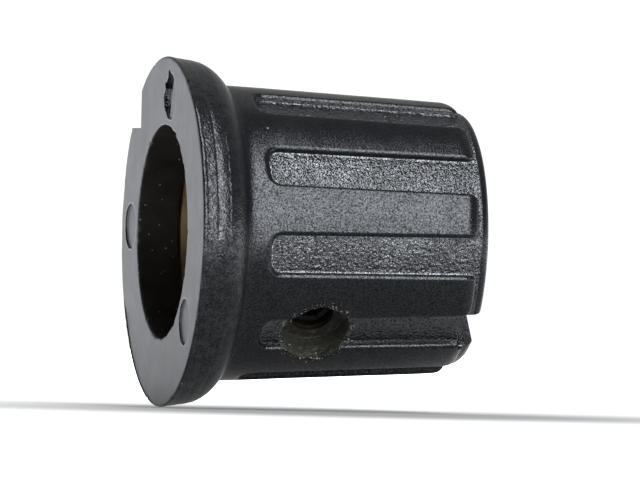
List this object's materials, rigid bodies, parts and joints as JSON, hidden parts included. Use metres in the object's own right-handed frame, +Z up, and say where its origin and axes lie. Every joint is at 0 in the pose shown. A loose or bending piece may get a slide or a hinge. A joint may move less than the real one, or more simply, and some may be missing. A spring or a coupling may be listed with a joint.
{
  "type": "fuse-carrier cap",
  "caption": "Fluted, flanged screw-on cap for a panel fuse holder, with a moulded-in threaded brass bush, side locking screw and sprung fuse contact inside.",
  "frame": {"origin": "on the cap's axis, in the plane of the flange's flat front face, at the mouth of the recess", "axes": "+X along the cap's axis from the mouth to the slotted end, +Z up as the cap lies in the picture, -Y towards the camera; the side hole points 44 degrees below -Y"},
  "size_m": [0.0201, 0.023, 0.023],
  "materials": {
    "phenolic": "semi-gloss moulded grain",
    "brass": "turned, slightly tarnished",
    "black_steel": "black oxide",
    "plated": "tin plated",
    "silver": "satin silver",
    "spring_steel": "drawn wire"
  },
  "bodies": {
    "cap": {"cap_shell": "phenolic", "threaded_bush": "brass", "contact_sleeve": "plated", "contact_spring": "spring_steel", "sleeve_plug": "brass"},
    "plunger": {"contact_plunger": "plated", "contact_tip": "silver"},
    "lock_screw": {"grub_screw": "black_steel"}
  },
  "joints": [
    {"name": "plunger_travel", "type": "slide", "parent": "cap", "child": "plunger", "axis": [1, 0, 0], "range_m": [0, 0.0025], "stiffness_N_per_m": 4000, "springref_m": -0.0015, "deforming": ["contact_spring"]},
    {"name": "lock_screw_travel", "type": "slide", "parent": "cap", "child": "lock_screw", "axis": [0, -0.7193, -0.6947], "range_m": [0, 0.0012]}
  ]
}
